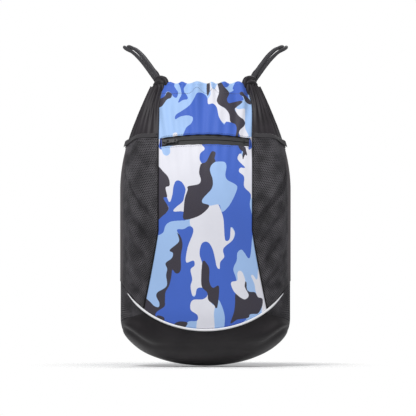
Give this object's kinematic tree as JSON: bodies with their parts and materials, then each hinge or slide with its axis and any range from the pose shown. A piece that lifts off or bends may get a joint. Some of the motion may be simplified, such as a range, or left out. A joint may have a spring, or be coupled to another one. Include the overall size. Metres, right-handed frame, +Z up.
{
  "type": "drawstring backpack",
  "caption": "Filled drawstring backpack for drum sticks: printed front with zip pocket, mesh side pockets, piped boot, twin cord straps over each shoulder.",
  "frame": {"origin": "midway between the wearer's shoulders, at the underside of the strap cords where they cross them", "axes": "+Z up along the sack towards its mouth, -Y out of the printed front, +Y towards the wearer, +X to the right seen from the front"},
  "size_m": [0.3, 0.2679, 0.5691],
  "materials": {
    "printed_cloth": "blue, light blue, white and charcoal camouflage print on matt nylon",
    "black_cloth": "plain black nylon",
    "black_mesh": "open black mesh",
    "elastic": "ribbed black elastic",
    "white_piping": "white piping",
    "blue_tab": "royal blue cloth",
    "zip_tape": "black woven tape and nylon coil",
    "black_cord": "black braided cord",
    "zip_metal": "black painted zinc",
    "eyelet_metal": "nickelled"
  },
  "bodies": {
    "bag": {"front_panel": "printed_cloth", "side_panel_left": "black_cloth", "side_panel_right": "black_cloth", "back_panel": "black_cloth", "boot": "black_cloth", "boot_mesh_corner_left": "black_mesh", "boot_mesh_corner_right": "black_mesh", "mesh_pocket_left": "black_mesh", "mesh_pocket_right": "black_mesh", "pocket_binding_left": "elastic", "pocket_binding_right": "elastic", "piping": "white_piping", "seam_binding": "black_cloth", "zip_pocket_lining": "black_cloth", "zip_tape_upper": "zip_tape", "zip_tape_lower": "zip_tape", "zip_coil_upper": "zip_tape", "zip_coil_lower": "zip_tape", "zip_stop_top_upper": "zip_metal", "zip_stop_top_lower": "zip_metal", "zip_stop_bottom": "zip_metal", "zip_end_tab_left": "blue_tab", "zip_end_tab_right": "blue_tab", "corner_tab_left": "black_cloth", "corner_tab_right": "black_cloth", "grommet_left": "eyelet_metal", "grommet_right": "eyelet_metal", "grommet_washer_left": "eyelet_metal", "grommet_washer_right": "eyelet_metal", "cord_knot_left": "black_cord", "cord_knot_right": "black_cord", "casing_cord_front": "black_cord", "casing_cord_back": "black_cord", "strap_cord_front_left": "black_cord", "strap_cord_front_right": "black_cord", "strap_cord_back_left": "black_cord", "strap_cord_back_right": "black_cord"},
    "zip_slider": {"zip_slider": "zip_metal"},
    "zip_pull": {"zip_pull": "zip_metal"}
  },
  "joints": [
    {"name": "zip_slide", "type": "hinge", "parent": "bag", "child": "zip_slider", "pos_m": [0, 0.09217, -0.30174], "axis": [0, 0.4968, 0.8679], "range_deg": [0, 27]},
    {"name": "pull_swing", "type": "hinge", "parent": "zip_slider", "child": "zip_pull", "pos_m": [-0.07015, -0.14492, -0.16641], "axis": [0.0512, -0.3132, -0.9483], "range_deg": [0, 165]}
  ]
}
